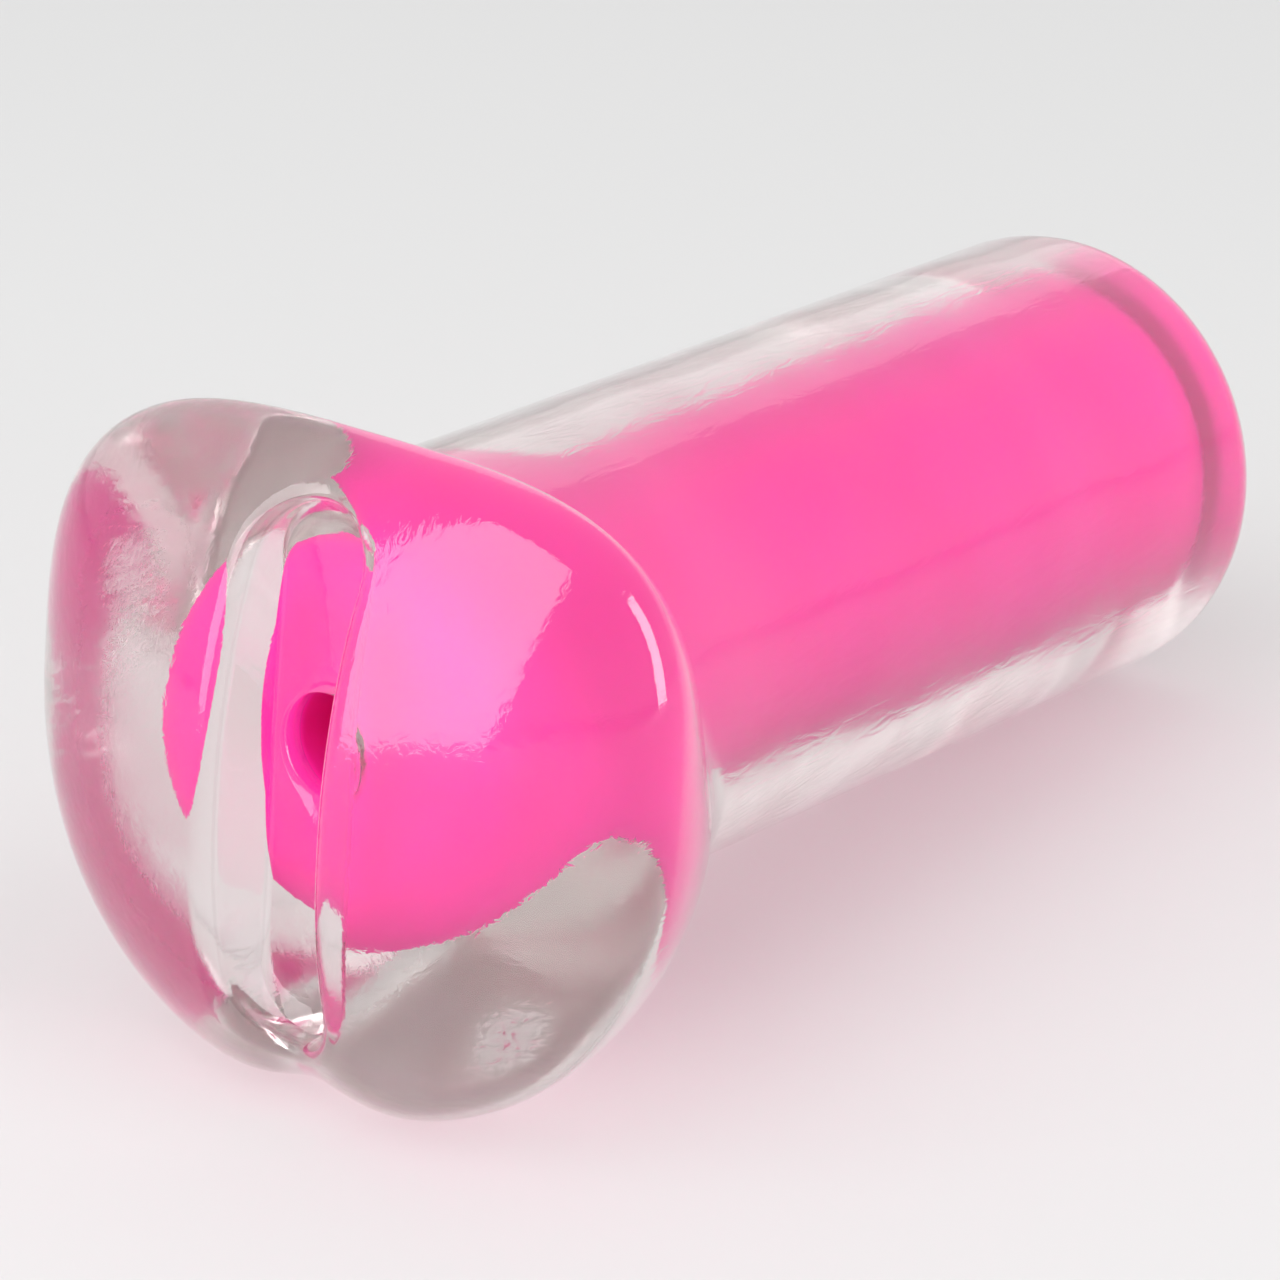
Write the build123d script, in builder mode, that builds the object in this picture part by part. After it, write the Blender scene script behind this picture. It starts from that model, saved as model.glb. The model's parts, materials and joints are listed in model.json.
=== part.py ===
from build123d import *

import os
from math import atan2, cos, degrees, exp, pi, radians, sin

# Two-tone soft elastomer sleeve, in millimetres. A clear outer body has a round barrel and a
# flared head with an entry slot. An opaque core is bonded inside it and lines the canal.
# It lies at rest on its side with its nose raised: the head's belly and its rear lower edge
# touch the ground. Stations are distances from the rear face along the sleeve's own axis.

nose_rise_angle = 5.85

barrel_radius = 22.0
rear_edge_radius = 5.0
neck_fillet_radius = 2.5

head_station = 115.5
head_half_width = 33.7
head_height_above = 27.25
head_height_below = 34.5
head_upper_exponent = 3.36
head_lower_exponent = 2.1
head_front_depth = 14.4
head_apex_drop = 6.8
head_back_depth = 28.0
head_back_exponent = 1.5
head_back_lean = 0.65
head_back_scale = 0.2
back_start_angle = 60
valley_depth_share = 0.07
valley_half_angle = 10.0
outline_points = 60
section_step = 15
nose_cap_angle = 84

slot_half_width = 5.5
slot_top = 17.0
slot_bottom = -21.0
slot_floor_station = 120.5
slot_edge_radius = 2.0

core_radius = 8.4
core_rear_station = 1.5
core_rear_round = 1.0
core_flare_start = 80.0
core_flare_end = 110.0
core_front_radius = 17.5
core_front_station = 118.0
core_front_round = 6.0

canal_radius = 5.0
canal_end_station = 22.0
groove_depth = 0.9
groove_width = 3.0
groove_pitch = 7.0
groove_count = 9
first_groove_station = 31.0

tilt = radians(nose_rise_angle)
body_axis = Axis((0, 0, 0), (0, -cos(tilt), sin(tilt)))
profile_plane = Plane(origin=(0, 0, 0), x_dir=(1, 0, 0), z_dir=(0, -sin(tilt), -cos(tilt)))


def station(distance):
    """Give the cross-section plane at a distance from the rear face."""
    return Plane(origin=(0, 0, 0), x_dir=(1, 0, 0), z_dir=body_axis.direction).offset(distance)


def outline_radius(angle):
    """Give the head's radius at an angle: a superellipse with a shallow valley at its foot."""
    if sin(angle) >= 0:
        height, exponent = head_height_above, head_upper_exponent
    else:
        height, exponent = head_height_below, head_lower_exponent
    across = abs(cos(angle) / head_half_width) ** exponent
    upright = abs(sin(angle) / height) ** exponent
    from_foot = degrees(atan2(cos(angle), -sin(angle)))
    valley = valley_depth_share * exp(-((from_foot / valley_half_angle) ** 2))
    return (across + upright) ** (-1 / exponent) * (1 - valley)


def head_section(distance, scale, rise, lean=0):
    """Sketch the head's outline at a station, scaled about the axis and then raised.

    A section that leans meets the axis at its station and has its foot further back, while its
    outline seen along the axis stays the same.
    """
    angles = [2 * pi * index / outline_points for index in range(outline_points)]
    radii = [scale * outline_radius(angle) for angle in angles]
    points = [(r * cos(angle), (r * sin(angle) + rise) / cos(lean)) for r, angle in zip(radii, angles)]
    with BuildSketch(station(distance).rotated((degrees(lean), 0, 0))) as section:
        with BuildLine():
            Spline(*points, periodic=True)
        make_face()
    return section.sketch


def back_section(angle):
    """Give a section of the head's fairing: 60 is inside the barrel and 0 is the rim.

    The fairing is a superellipse in profile. Its sections lean, so it is longest at the foot.
    """
    spread = cos(radians(angle))
    scale = head_back_scale + (1 - head_back_scale) * spread
    depth = head_back_depth * (1 - spread**head_back_exponent) ** (1 / head_back_exponent)
    lean = atan2(depth * head_back_lean, scale * head_height_below)
    return head_section(head_station - depth, scale, 0, lean)


def front_section(angle):
    """Give a section of the domed face; 0 is the rim and 90 is the apex."""
    scale = cos(radians(angle))
    depth = head_front_depth * sin(radians(angle))
    return head_section(head_station + depth, scale, -head_apex_drop * (1 - scale))


# Outer skin of the core, which is also the space it fills in the clear body.
with BuildPart() as core_blank:
    with BuildSketch(profile_plane):
        with BuildLine():
            rear_face = Line((0, core_rear_station), (core_radius - core_rear_round, core_rear_station))
            rear_corner = JernArc(rear_face @ 1, (1, 0), core_rear_round, 90)
            tube = Line(rear_corner @ 1, (core_radius, core_flare_start))
            flare = Spline(tube @ 1, (core_front_radius, core_flare_end), tangents=((0, 1), (0, 1)))
            rim = Line(flare @ 1, (core_front_radius, core_front_station - core_front_round))
            front_corner = JernArc(rim @ 1, (0, 1), core_front_round, 90)
            front_face = Line(front_corner @ 1, (0, core_front_station))
            Line(front_face @ 1, rear_face @ 0)
        make_face()
    revolve(axis=body_axis)

with BuildPart() as pink_inner_core:
    add(core_blank.part)
    with BuildSketch(station(canal_end_station)):
        Circle(canal_radius)
    extrude(amount=core_front_station - canal_end_station, mode=Mode.SUBTRACT)
    for index in range(groove_count):
        with BuildSketch(station(first_groove_station + index * groove_pitch)):
            Circle(canal_radius + groove_depth)
        extrude(amount=groove_width, mode=Mode.SUBTRACT)
pink_inner_core.part.label = "pink_inner_core"

with BuildPart() as clear_outer_body:
    back = [back_section(angle) for angle in range(back_start_angle, 0, -section_step)]
    front = [front_section(angle) for angle in range(0, nose_cap_angle, section_step)]
    loft(sections=back + front + [front_section(nose_cap_angle)])
    with BuildSketch(station(0)):
        Circle(barrel_radius)
    extrude(amount=head_station)
    rear_edge = clear_outer_body.edges().filter_by(GeomType.CIRCLE).sort_by(body_axis)[0]
    fillet(rear_edge, radius=rear_edge_radius)
    neck = clear_outer_body.edges().filter_by(GeomType.BSPLINE).sort_by(body_axis)[0]
    fillet(neck, radius=neck_fillet_radius)
    with BuildSketch(station(slot_floor_station)):
        with Locations((0, (slot_top + slot_bottom) / 2)):
            slot_length = slot_top - slot_bottom + 2 * slot_half_width
            SlotOverall(slot_length, 2 * slot_half_width, rotation=90)
    extrude(amount=head_front_depth, mode=Mode.SUBTRACT)
    slot_edges = clear_outer_body.edges(Select.LAST).filter_by(GeomType.BSPLINE)
    fillet(slot_edges, radius=slot_edge_radius)
    add(core_blank.part, mode=Mode.SUBTRACT)
    with BuildSketch(station(core_front_station)):
        Circle(canal_radius)
    extrude(amount=slot_floor_station - core_front_station, mode=Mode.SUBTRACT)
clear_outer_body.part.label = "clear_outer_body"

bounds = clear_outer_body.part.bounding_box()
centre = bounds.center()
onto_ground = Location((-centre.X, -centre.Y, -bounds.min.Z))

os.makedirs("parts", exist_ok=True)
for piece in (clear_outer_body.part, pink_inner_core.part):
    export_step(piece.moved(onto_ground), f"parts/{piece.label}.step")
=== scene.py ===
"""Looks of a two-tone soft elastomer sleeve, built in metres around its CAD frame.

The clear outer body and the pink inner core are both replaced by smooth meshes worked out from
the frame's mounts and boxes. The clear body's cavity wall lies just inside the core's outer skin,
so light inside the gel meets the core directly, as it does where the two mouldings are bonded.
"""

import json
import math

import bmesh
import bpy
import numpy as np
from mathutils import Matrix, Vector


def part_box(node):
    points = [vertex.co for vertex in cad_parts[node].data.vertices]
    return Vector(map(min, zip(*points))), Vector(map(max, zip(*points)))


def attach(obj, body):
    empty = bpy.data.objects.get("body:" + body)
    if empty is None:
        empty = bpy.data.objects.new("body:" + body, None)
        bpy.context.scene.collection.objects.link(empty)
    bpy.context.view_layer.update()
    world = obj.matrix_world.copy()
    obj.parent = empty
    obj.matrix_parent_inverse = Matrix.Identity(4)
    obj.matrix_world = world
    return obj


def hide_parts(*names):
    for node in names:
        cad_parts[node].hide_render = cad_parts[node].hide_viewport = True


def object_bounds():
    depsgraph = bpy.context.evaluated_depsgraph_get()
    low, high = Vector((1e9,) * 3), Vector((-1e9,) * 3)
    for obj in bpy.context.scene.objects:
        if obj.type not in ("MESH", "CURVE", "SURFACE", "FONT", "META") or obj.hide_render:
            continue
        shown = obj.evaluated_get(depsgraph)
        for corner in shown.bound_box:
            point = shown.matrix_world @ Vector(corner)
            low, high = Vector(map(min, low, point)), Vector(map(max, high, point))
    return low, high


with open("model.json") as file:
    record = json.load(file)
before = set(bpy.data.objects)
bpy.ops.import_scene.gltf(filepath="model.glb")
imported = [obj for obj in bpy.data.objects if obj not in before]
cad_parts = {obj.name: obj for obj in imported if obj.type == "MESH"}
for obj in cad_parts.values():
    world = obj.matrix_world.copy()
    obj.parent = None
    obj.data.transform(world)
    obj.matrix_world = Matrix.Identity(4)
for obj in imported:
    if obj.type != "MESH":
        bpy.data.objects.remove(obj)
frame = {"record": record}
cad_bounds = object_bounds()

# ---------------------------------------------------------------- frame and sizes, in metres
MM = 0.001
MOUNTS = {mount["name"]: mount for mount in frame["record"]["mounts"]}
REAR_CENTRE = np.array(MOUNTS["rear_face"]["pos_m"])
NOSE = np.array(MOUNTS["canal"]["axis"])
ACROSS = np.array([1.0, 0.0, 0.0])
UP = np.cross(NOSE, ACROSS)
BODY_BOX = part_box("clear_outer_body")
CORE_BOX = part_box("pink_inner_core")

HEAD_HALF_WIDTH = BODY_BOX[1][0]
HEAD_ABOVE = 27.25 * MM
HEAD_BELOW = 34.5 * MM
UPPER_EXPONENT = 3.36
LOWER_EXPONENT = 2.1
VALLEY_SHARE = 0.07
VALLEY_HALF_ANGLE = math.radians(10)
HEAD_STATION = 115.5 * MM
FRONT_DEPTH = 14.4 * MM
FACE_STATION = HEAD_STATION + FRONT_DEPTH
APEX_DROP = 6.8 * MM
BACK_DEPTH = 28.0 * MM
BACK_EXPONENT = 1.5
BACK_LEAN = 0.65
BACK_SHARE = 0.2
NECK_ROUND = 2.5 * MM
BARREL_RADIUS = 22.0 * MM
REAR_EDGE = 5.0 * MM

SLOT_HALF = 5.5 * MM
SLOT_TOP = 17.0 * MM
SLOT_BOTTOM = -21.0 * MM
SLOT_FLOOR = 120.5 * MM
SLOT_EDGE = 2.0 * MM

CORE_RADIUS = 8.4 * MM
CORE_FRONT_RADIUS = CORE_BOX[1][0]
CORE_REAR = 1.5 * MM
CORE_REAR_ROUND = 1.0 * MM
FLARE_START = 80.0 * MM
FLARE_END = 110.0 * MM
CORE_FRONT = 118.0 * MM
CORE_FRONT_ROUND = 6.0 * MM
CANAL_RADIUS = MOUNTS["canal"]["dims"]["r_mm"] * MM
CANAL_END = SLOT_FLOOR - MOUNTS["canal"]["dims"]["length_mm"] * MM
GROOVE_DEPTH = 0.9 * MM
GROOVE_PITCH = 7.0 * MM
GROOVE_COUNT = 9
GROOVES_START = 29.0 * MM
GROOVES_END = GROOVES_START + GROOVE_COUNT * GROOVE_PITCH
MOUTH_ROUND = 0.8 * MM
BLIND_END_ROUND = 0.5 * MM
BOND_OVERLAP = 0.3 * MM

# Fineness of the meshes: points round a ring, rings on the flat ends, steps to solve the dome.
AROUND = 256
REAR_FLAT_SHARES = (0.8, 0.6, 0.4, 0.2, 0.05)
BLIND_END_SHARES = (0.3, 0.7, 0.94)
SOLVE_STEPS = 60
ANGLES = np.linspace(0, 2 * np.pi, AROUND, endpoint=False)
COS, SIN = np.cos(ANGLES), np.sin(ANGLES)


# ---------------------------------------------------------------- meshes
def placed(points):
    """Move points from the sleeve's own axes (across, up, along) into the row frame."""
    across, up, along = points[:, 0:1], points[:, 1:2], points[:, 2:3]
    return REAR_CENTRE + across * ACROSS + up * UP + along * NOSE


def ring(radius, along):
    """Give one ring of points at polar radii about the axis, at one station or several."""
    radius = np.broadcast_to(radius, ANGLES.shape)
    return np.stack([radius * COS, radius * SIN, np.broadcast_to(along, ANGLES.shape)], axis=1)


def mesh_from_rings(name, rings, start, end):
    """Join rings into a closed tube, with a fan to a point on the axis at each end."""
    vertices = np.concatenate(rings)
    faces = []
    for row in range(len(rings) - 1):
        low, high = row * AROUND, (row + 1) * AROUND
        for j in range(AROUND):
            k = (j + 1) % AROUND
            faces.append((low + j, low + k, high + k, high + j))
    first, last = len(vertices), len(vertices) + 1
    vertices = np.concatenate([vertices, [[0, 0, start], [0, 0, end]]])
    top = (len(rings) - 1) * AROUND
    for j in range(AROUND):
        k = (j + 1) % AROUND
        faces.append((first, k, j))
        faces.append((last, top + j, top + k))
    mesh = bpy.data.meshes.new(name)
    mesh.from_pydata(placed(vertices).tolist(), [], faces)
    work = bmesh.new()
    work.from_mesh(mesh)
    bmesh.ops.recalc_face_normals(work, faces=work.faces)
    work.to_mesh(mesh)
    work.free()
    mesh.polygons.foreach_set("use_smooth", [True] * len(mesh.polygons))
    mesh.update()
    piece = bpy.data.objects.new(name, mesh)
    bpy.context.scene.collection.objects.link(piece)
    return piece


def head_outline():
    """Give the head's polar radius at each angle: a superellipse with a shallow valley below."""
    height = np.where(SIN >= 0, HEAD_ABOVE, HEAD_BELOW)
    exponent = np.where(SIN >= 0, UPPER_EXPONENT, LOWER_EXPONENT)
    across = np.abs(COS / HEAD_HALF_WIDTH) ** exponent
    upright = np.abs(SIN / height) ** exponent
    from_foot = (ANGLES + np.pi / 2 + np.pi) % (2 * np.pi) - np.pi
    valley = VALLEY_SHARE * np.exp(-((from_foot / VALLEY_HALF_ANGLE) ** 2))
    return (across + upright) ** (-1 / exponent) * (1 - valley)


OUTLINE = head_outline()


def dome_station(across, up):
    """Give the face's station over a point: scaled outlines whose centre drops to the apex.

    The outline's scale at the point is found in steps, each going half way to the scale it implies.
    """
    scale = np.full(across.shape, 0.5)
    for _ in range(SOLVE_STEPS):
        from_centre = up + APEX_DROP * (1 - scale)
        angle = np.arctan2(from_centre, across) % (2 * np.pi)
        reach = np.interp(angle, ANGLES, OUTLINE, period=2 * np.pi)
        scale = 0.5 * scale + 0.5 * np.clip(np.hypot(across, from_centre) / reach, 0, 1)
    return HEAD_STATION + FRONT_DEPTH * np.sqrt(1 - scale**2)


def slot_reach(half_width):
    """Give the polar radius of a straight round-ended slot about the axis."""
    side = half_width / np.maximum(np.abs(COS), 1e-9)
    centre = np.where(SIN >= 0, SLOT_TOP, SLOT_BOTTOM)
    inside = np.maximum(half_width**2 - (centre * COS) ** 2, 0)
    capped = centre * SIN + np.sqrt(inside)
    return np.where(np.abs(side * SIN) <= np.abs(centre), side, capped)


def face_rings():
    """Give the rings from the canal's mouth over the slot and its rounded edge to the rim."""
    wall = slot_reach(SLOT_HALF)
    rings = [ring(CANAL_RADIUS + (wall - CANAL_RADIUS) * f, SLOT_FLOOR) for f in np.linspace(0, 1, 8)]
    brink = dome_station(wall * COS, wall * SIN) - SLOT_EDGE
    for f in np.linspace(0, 1, 8)[1:]:
        rings.append(ring(wall, SLOT_FLOOR + (brink - SLOT_FLOOR) * f))
    for turn in np.radians(np.linspace(0, 90, 9)[1:]):
        radius = slot_reach(SLOT_HALF + SLOT_EDGE * (1 - math.cos(turn)))
        sunk = SLOT_EDGE * (1 - math.sin(turn))
        rings.append(ring(radius, dome_station(radius * COS, radius * SIN) - sunk))
    inner = slot_reach(SLOT_HALF + SLOT_EDGE)
    for f in np.linspace(0, 1, 70)[1:-1]:
        radius = inner + (OUTLINE - inner) * math.sin(f * math.pi / 2)
        rings.append(ring(radius, dome_station(radius * COS, radius * SIN)))
    rings.append(ring(OUTLINE, HEAD_STATION))
    return rings


def back_rings():
    """Give the rings of the head's fairing, longest at the foot, down through the neck's rounding."""
    longest = BACK_DEPTH * (1 - BACK_LEAN * OUTLINE * SIN / HEAD_BELOW)
    meet = BARREL_RADIUS + NECK_ROUND
    last_turn = np.arccos((meet / OUTLINE - BACK_SHARE) / (1 - BACK_SHARE))
    rings = []
    for f in np.linspace(0, 1, 40)[1:]:
        spread = np.cos(last_turn * f)
        share = BACK_SHARE + (1 - BACK_SHARE) * spread
        depth = longest * (1 - spread**BACK_EXPONENT) ** (1 / BACK_EXPONENT)
        rings.append(ring(OUTLINE * share, HEAD_STATION - depth))
    start = HEAD_STATION - depth
    rise = spread ** (BACK_EXPONENT - 1) * (1 - spread**BACK_EXPONENT) ** (1 / BACK_EXPONENT - 1)
    slope = longest * rise / (OUTLINE * (1 - BACK_SHARE))
    corner = start - slope * NECK_ROUND
    for f in np.linspace(0, 1, 9)[1:]:
        radius = BARREL_RADIUS + NECK_ROUND * (1 - f) ** 2
        along = start * (1 - f) ** 2 + 2 * corner * f * (1 - f) + (corner - NECK_ROUND) * f**2
        rings.append(ring(radius, along))
    return rings


def barrel_rings(from_station):
    """Give the rings of the barrel, its rounded rear edge and its rear face."""
    fractions = np.linspace(0, 1, 50)[1:]
    rings = [ring(BARREL_RADIUS, from_station * (1 - f) + REAR_EDGE * f) for f in fractions]
    for turn in np.radians(np.linspace(0, 90, 12)[1:]):
        radius = BARREL_RADIUS - REAR_EDGE * (1 - math.cos(turn))
        rings.append(ring(radius, REAR_EDGE * (1 - math.sin(turn))))
    rear_flat = BARREL_RADIUS - REAR_EDGE
    rings += [ring(rear_flat * share, 0) for share in REAR_FLAT_SHARES]
    return rings


def core_skin(inset):
    """Give the core's outer rings from its front face to its rear face, moved in by inset."""
    front, rear = CORE_FRONT - inset, CORE_REAR + inset
    wide, narrow = CORE_FRONT_RADIUS - inset, CORE_RADIUS - inset
    rings = []
    for turn in np.radians(np.linspace(0, 90, 12)):
        rings.append(ring(wide - CORE_FRONT_ROUND * (1 - math.sin(turn)),
                          front - CORE_FRONT_ROUND * (1 - math.cos(turn))))
    for f in np.linspace(0, 1, 24):
        rings.append(ring(wide + (narrow - wide) * f * f * (3 - 2 * f),
                          FLARE_END + (FLARE_START - FLARE_END) * f))
    for f in np.linspace(0, 1, 30)[1:]:
        rings.append(ring(narrow, FLARE_START * (1 - f) + (rear + CORE_REAR_ROUND) * f))
    for turn in np.radians(np.linspace(0, 90, 8)[1:]):
        rings.append(ring(narrow - CORE_REAR_ROUND * (1 - math.cos(turn)),
                          rear + CORE_REAR_ROUND * (1 - math.sin(turn))))
    return rings


def canal_rings():
    """Give the canal's rings from its blind end to its mouth, with soft annular grooves."""
    rings = [ring(CANAL_RADIUS * share, CANAL_END) for share in BLIND_END_SHARES]
    for along in np.linspace(CANAL_END + BLIND_END_ROUND, CORE_FRONT - MOUTH_ROUND, 200):
        phase = 2 * math.pi * (along - GROOVES_START) / GROOVE_PITCH
        grooved = GROOVES_START <= along <= GROOVES_END
        depth = GROOVE_DEPTH * (0.5 - 0.5 * math.cos(phase)) if grooved else 0
        rings.append(ring(CANAL_RADIUS + depth, along))
    for turn in np.radians(np.linspace(0, 90, 6)[1:]):
        rings.append(ring(CANAL_RADIUS + MOUTH_ROUND * (1 - math.cos(turn)),
                          CORE_FRONT - MOUTH_ROUND * (1 - math.sin(turn))))
    return rings


def clear_outer_body():
    """Make the clear moulding: its outside, then the canal's mouth and the core's cavity."""
    outside = face_rings() + back_rings()
    outside += barrel_rings(outside[-1][:, 2])
    mouth_start, mouth_depth = CORE_FRONT - BOND_OVERLAP, SLOT_FLOOR - CORE_FRONT
    mouth = [ring(CANAL_RADIUS, mouth_start + f * mouth_depth) for f in (0, 0.5)]
    cavity = core_skin(BOND_OVERLAP)
    cavity_end = CORE_REAR + BOND_OVERLAP
    rings = list(reversed(outside)) + list(reversed(mouth)) + cavity
    return mesh_from_rings("clear_gel_body", rings, 0, cavity_end)


def pink_inner_core():
    """Make the opaque core: its canal, then its outer skin."""
    return mesh_from_rings("pink_core_body", canal_rings() + core_skin(0), CANAL_END, CORE_REAR)


# ---------------------------------------------------------------- materials
def new_material(name):
    """Make a material and give it with its node tree and its Principled shader."""
    material = bpy.data.materials.new(name)
    material.use_nodes = True
    tree = material.node_tree
    return material, tree, tree.nodes["Principled BSDF"]


def stretched_coordinates(tree, stretch):
    """Give object coordinates scaled per axis, so that a noise can run as streaks."""
    coordinates = tree.nodes.new("ShaderNodeTexCoord")
    mapping = tree.nodes.new("ShaderNodeMapping")
    mapping.inputs["Scale"].default_value = stretch
    tree.links.new(coordinates.outputs["Object"], mapping.inputs["Vector"])
    return mapping.outputs["Vector"]


def noise(tree, scale, detail, stretch=(1, 1, 1), distortion=0.0):
    """Add a noise texture in object space and give its value."""
    node = tree.nodes.new("ShaderNodeTexNoise")
    node.inputs["Scale"].default_value = scale
    node.inputs["Detail"].default_value = detail
    node.inputs["Distortion"].default_value = distortion
    tree.links.new(stretched_coordinates(tree, stretch), node.inputs["Vector"])
    return node.outputs["Fac"]


def widened(tree, value, low, high):
    """Widen a noise value, which stays near a half, to a range."""
    node = tree.nodes.new("ShaderNodeMapRange")
    node.inputs["From Min"].default_value = 0.3
    node.inputs["From Max"].default_value = 0.7
    node.inputs["To Min"].default_value = low
    node.inputs["To Max"].default_value = high
    tree.links.new(value, node.inputs["Value"])
    return node.outputs["Result"]


def value_along(tree, stops):
    """Give a value that changes softly along the sleeve; each stop is a station in mm and a value."""
    coordinates = tree.nodes.new("ShaderNodeTexCoord")
    measure = tree.nodes.new("ShaderNodeVectorMath")
    measure.operation = "DOT_PRODUCT"
    measure.inputs[1].default_value = NOSE
    station = tree.nodes.new("ShaderNodeMapRange")
    start = float(np.dot(REAR_CENTRE, NOSE))
    station.inputs["From Min"].default_value = start
    station.inputs["From Max"].default_value = start + FACE_STATION
    ramp = tree.nodes.new("ShaderNodeValToRGB")
    ramp.color_ramp.interpolation = "EASE"
    points = ramp.color_ramp.elements
    while len(points) < len(stops):
        points.new(0.5)
    for point, (place, value) in zip(points, stops):
        point.position = place * MM / FACE_STATION
        point.color = (value, value, value, 1)
    tree.links.new(coordinates.outputs["Object"], measure.inputs[0])
    tree.links.new(measure.outputs["Value"], station.inputs["Value"])
    tree.links.new(station.outputs["Result"], ramp.inputs["Fac"])
    return ramp.outputs["Color"]


def multiply(tree, first, second):
    """Multiply two values."""
    node = tree.nodes.new("ShaderNodeMath")
    node.operation = "MULTIPLY"
    tree.links.new(first, node.inputs[0])
    tree.links.new(second, node.inputs[1])
    return node.outputs["Value"]


def bump(tree, height, distance, below=None):
    """Add a bump from a height, on top of another bump."""
    node = tree.nodes.new("ShaderNodeBump")
    node.inputs["Distance"].default_value = distance
    tree.links.new(height, node.inputs["Height"])
    if below is not None:
        tree.links.new(below, node.inputs["Normal"])
    return node.outputs["Normal"]


def gel_material():
    """Clear soft elastomer: glossy outside, hazy where the mould was matt, faintly warm in depth."""
    material, tree, shader = new_material("clear_gel")
    shader.inputs["Base Color"].default_value = (0.985, 0.975, 0.97, 1)
    shader.inputs["IOR"].default_value = 1.47
    clearness = value_along(tree, [(0, 0.985), (75, 0.985), (90, 0.96), (115, 0.97), (121, 0.985)])
    tree.links.new(clearness, shader.inputs["Transmission Weight"])
    matt = value_along(tree, [(0, 0.17), (98, 0.15), (106, 0.10), (116, 0.07), (121, 0.035)])
    patchy = widened(tree, noise(tree, scale=90, detail=3, distortion=0.6), low=0.7, high=1.3)
    tree.links.new(multiply(tree, matt, patchy), shader.inputs["Roughness"])
    shader.inputs["Coat Weight"].default_value = 0.9
    shader.inputs["Coat Roughness"].default_value = 0.05
    shader.inputs["Coat IOR"].default_value = 1.47
    sag = bump(tree, noise(tree, scale=45, detail=1), distance=0.6 * MM)
    streaky = noise(tree, scale=700, detail=3, stretch=(1, 0.3, 1), distortion=1.2)
    streaks = bump(tree, streaky, distance=0.03 * MM, below=sag)
    tree.links.new(streaks, shader.inputs["Normal"])
    tree.links.new(streaks, shader.inputs["Coat Normal"])
    # Lamp light goes straight through to the core, which clear gel would otherwise leave in its shade.
    lit_through = tree.nodes.new("ShaderNodeMixShader")
    ray = tree.nodes.new("ShaderNodeLightPath")
    clear = tree.nodes.new("ShaderNodeBsdfTransparent")
    tree.links.new(ray.outputs["Is Shadow Ray"], lit_through.inputs["Fac"])
    tree.links.new(shader.outputs["BSDF"], lit_through.inputs[1])
    tree.links.new(clear.outputs["BSDF"], lit_through.inputs[2])
    depth = tree.nodes.new("ShaderNodeVolumeAbsorption")
    depth.inputs["Color"].default_value = (0.62, 0.52, 0.48, 1)
    depth.inputs["Density"].default_value = 7
    output = tree.nodes["Material Output"]
    tree.links.new(lit_through.outputs["Shader"], output.inputs["Surface"])
    tree.links.new(depth.outputs["Volume"], output.inputs["Volume"])
    return material


def core_material():
    """Opaque hot-pink elastomer with a soft sheen and light scattered under its skin."""
    material, tree, shader = new_material("pink_core")
    ramp = tree.nodes.new("ShaderNodeValToRGB")
    ramp.color_ramp.elements[0].position = 0.35
    ramp.color_ramp.elements[0].color = (0.92, 0.011, 0.31, 1)
    ramp.color_ramp.elements[1].position = 0.7
    ramp.color_ramp.elements[1].color = (0.97, 0.019, 0.36, 1)
    tree.links.new(noise(tree, scale=40, detail=3), ramp.inputs["Fac"])
    tree.links.new(ramp.outputs["Color"], shader.inputs["Base Color"])
    shader.inputs["Roughness"].default_value = 0.55
    shader.inputs["Specular IOR Level"].default_value = 0.1
    shader.inputs["Subsurface Weight"].default_value = 0.3
    shader.inputs["Subsurface Radius"].default_value = (0.006, 0.002, 0.004)
    shader.inputs["Subsurface Scale"].default_value = 1.0
    grain = bump(tree, noise(tree, scale=600, detail=2), distance=0.04 * MM)
    tree.links.new(grain, shader.inputs["Normal"])
    return material


# ---------------------------------------------------------------- stage
def softbox(name, azimuth, elevation, distance, width, height, radiance):
    """Stand a soft rectangular light round the sleeve, in degrees and metres.

    Azimuth 0 is in front of the face and 90 is to its +X side.
    """
    turn, rise = math.radians(azimuth), math.radians(elevation)
    away = Vector((math.sin(turn) * math.cos(rise), -math.cos(turn) * math.cos(rise), math.sin(rise)))
    lamp = bpy.data.lights.new(name, "AREA")
    lamp.shape = "RECTANGLE"
    lamp.size, lamp.size_y = width, height
    lamp.energy = radiance * math.pi * width * height
    light = bpy.data.objects.new(name, lamp)
    light.location = MIDDLE + away * distance
    light.rotation_mode = "QUATERNION"
    light.rotation_quaternion = (-away).to_track_quat("-Z", "Y")
    light.visible_camera = False
    bpy.context.scene.collection.objects.link(light)


def floor():
    """Lay a plain pale floor."""
    material, tree, shader = new_material("pale_floor")
    shader.inputs["Base Color"].default_value = (0.74, 0.74, 0.74, 1)
    shader.inputs["Roughness"].default_value = 0.9
    half = 6.0  # metres, far beyond what the camera sees
    mesh = bpy.data.meshes.new("floor")
    corners = [(-half, -half, 0), (half, -half, 0), (half, half, 0), (-half, half, 0)]
    mesh.from_pydata(corners, [], [(0, 1, 2, 3)])
    mesh.materials.append(material)
    plane = bpy.data.objects.new("floor", mesh)
    bpy.context.scene.collection.objects.link(plane)


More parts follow.
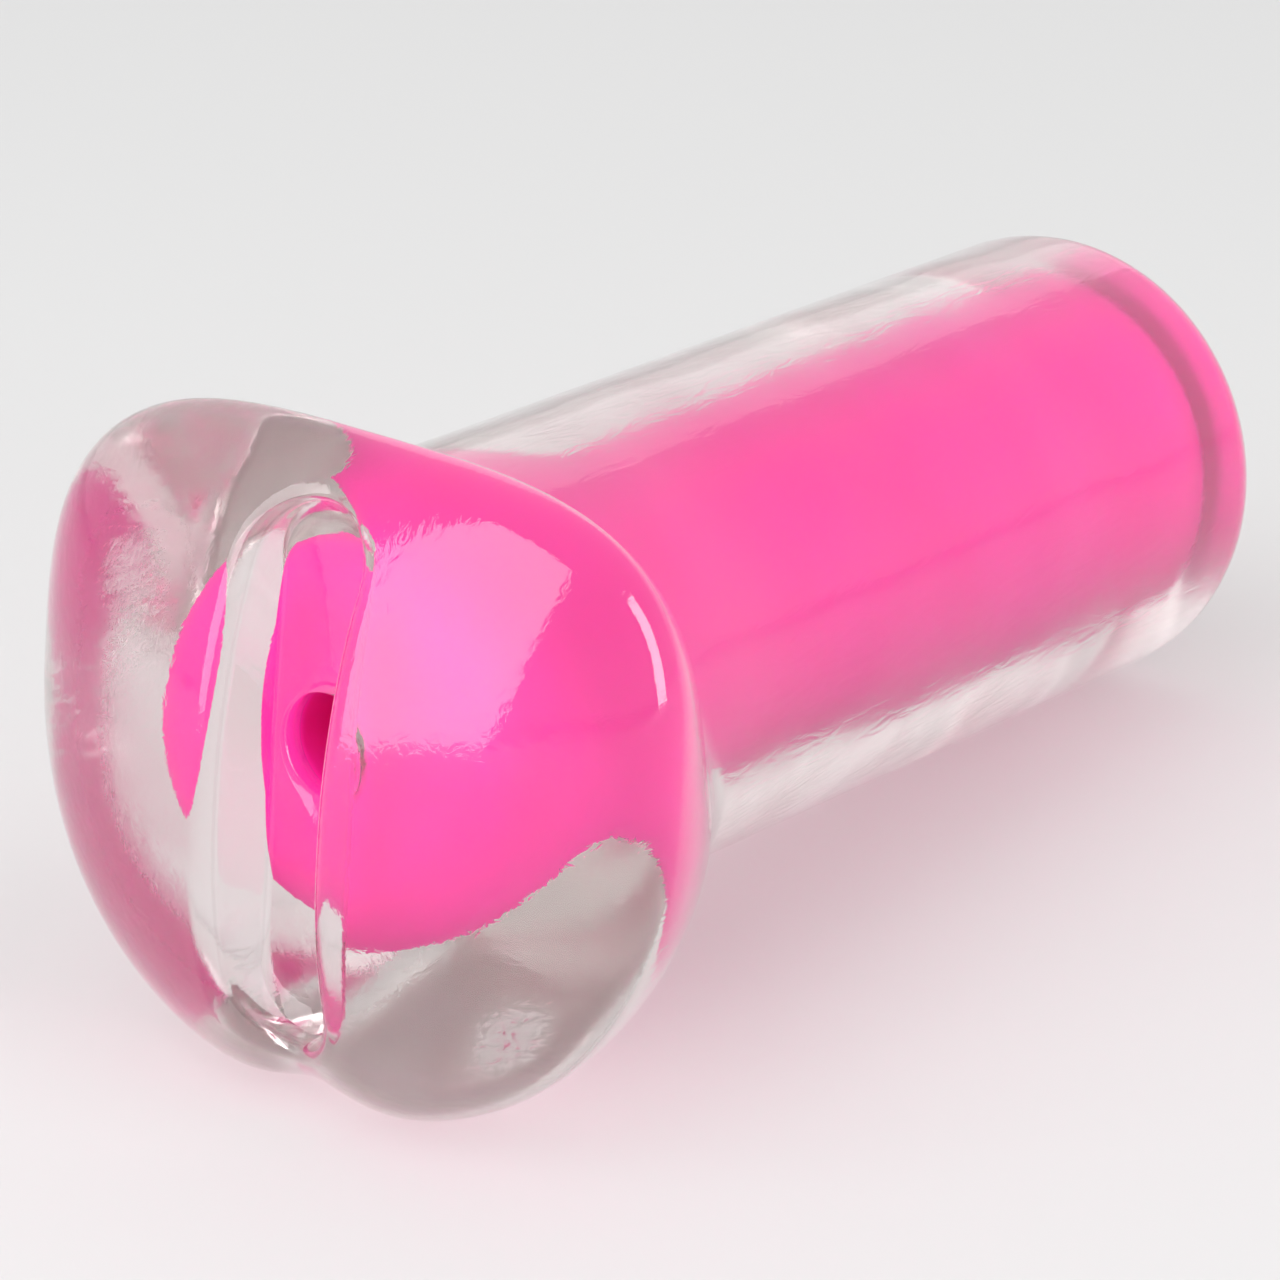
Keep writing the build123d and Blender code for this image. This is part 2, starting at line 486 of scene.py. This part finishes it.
def studio_world():
    """Surround the sleeve with pale light that is brightest at the horizon and dimmer overhead."""
    world = bpy.data.worlds.new("studio")
    world.use_nodes = True
    tree = world.node_tree
    coordinates = tree.nodes.new("ShaderNodeTexCoord")
    split = tree.nodes.new("ShaderNodeSeparateXYZ")
    ramp = tree.nodes.new("ShaderNodeValToRGB")
    ramp.color_ramp.interpolation = "EASE"
    ramp.color_ramp.elements[0].position = 0.0
    ramp.color_ramp.elements[0].color = (0.80, 0.79, 0.78, 1)
    ramp.color_ramp.elements[1].position = 0.7
    ramp.color_ramp.elements[1].color = (0.62, 0.62, 0.62, 1)
    tree.links.new(coordinates.outputs["Generated"], split.inputs["Vector"])
    tree.links.new(split.outputs["Z"], ramp.inputs["Fac"])
    tree.links.new(ramp.outputs["Color"], tree.nodes["Background"].inputs["Color"])
    bpy.context.scene.world = world


def camera():
    """Stand the camera in front of the face, above it and to its +X side, with a long lens."""
    azimuth, elevation, roll = math.radians(35.71), math.radians(24.46), math.radians(0.35)
    distance, slide_right, slide_up = 0.65268, -0.00798, -0.01249
    lens, sensor, nearest = 199.35, 36.0, 0.01
    back = Vector((math.sin(azimuth) * math.cos(elevation),
                   -math.cos(azimuth) * math.cos(elevation), math.sin(elevation)))
    level = Vector((math.cos(azimuth), math.sin(azimuth), 0))
    right = level * math.cos(roll) + back.cross(level) * math.sin(roll)
    up = back.cross(right)
    from_rear = Vector((0, -0.06014, 0.01442))
    target = Vector(REAR_CENTRE) + from_rear
    data = bpy.data.cameras.new("camera")
    data.sensor_width, data.lens, data.clip_start = sensor, lens, nearest
    eye = bpy.data.objects.new("camera", data)
    turn = Matrix((right, up, back)).transposed().to_4x4()
    place = target + right * slide_right + up * slide_up + back * distance
    eye.matrix_world = Matrix.Translation(place) @ turn
    bpy.context.scene.collection.objects.link(eye)
    bpy.context.scene.camera = eye


def allow_inner_reflections():
    """Let light take enough reflections inside the gel; with fewer, the thick head turns dark."""
    cycles = bpy.context.scene.cycles
    cycles.max_bounces = 32
    cycles.glossy_bounces = 24
    cycles.transmission_bounces = 24


MIDDLE = (Vector(cad_bounds[0]) + Vector(cad_bounds[1])) / 2

body = clear_outer_body()
body.data.materials.append(gel_material())
core = pink_inner_core()
core.data.materials.append(core_material())
for piece, node, slot_name in (
    (body, "clear_outer_body", "clear_gel"),
    (core, "pink_inner_core", "pink_core"),
):
    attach(piece, "root")
    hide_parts(node)

floor()
studio_world()
softbox("front_box", azimuth=-14, elevation=34, distance=0.9, width=0.66, height=1.35, radiance=2.55)
softbox("right_box", azimuth=98, elevation=17, distance=0.9, width=0.24, height=1.15, radiance=5.6)
softbox("back_left_box", azimuth=-152, elevation=22, distance=1.0, width=0.45, height=0.45, radiance=0.4)
camera()
bpy.context.scene.view_settings.view_transform = "Standard"
allow_inner_reflections()
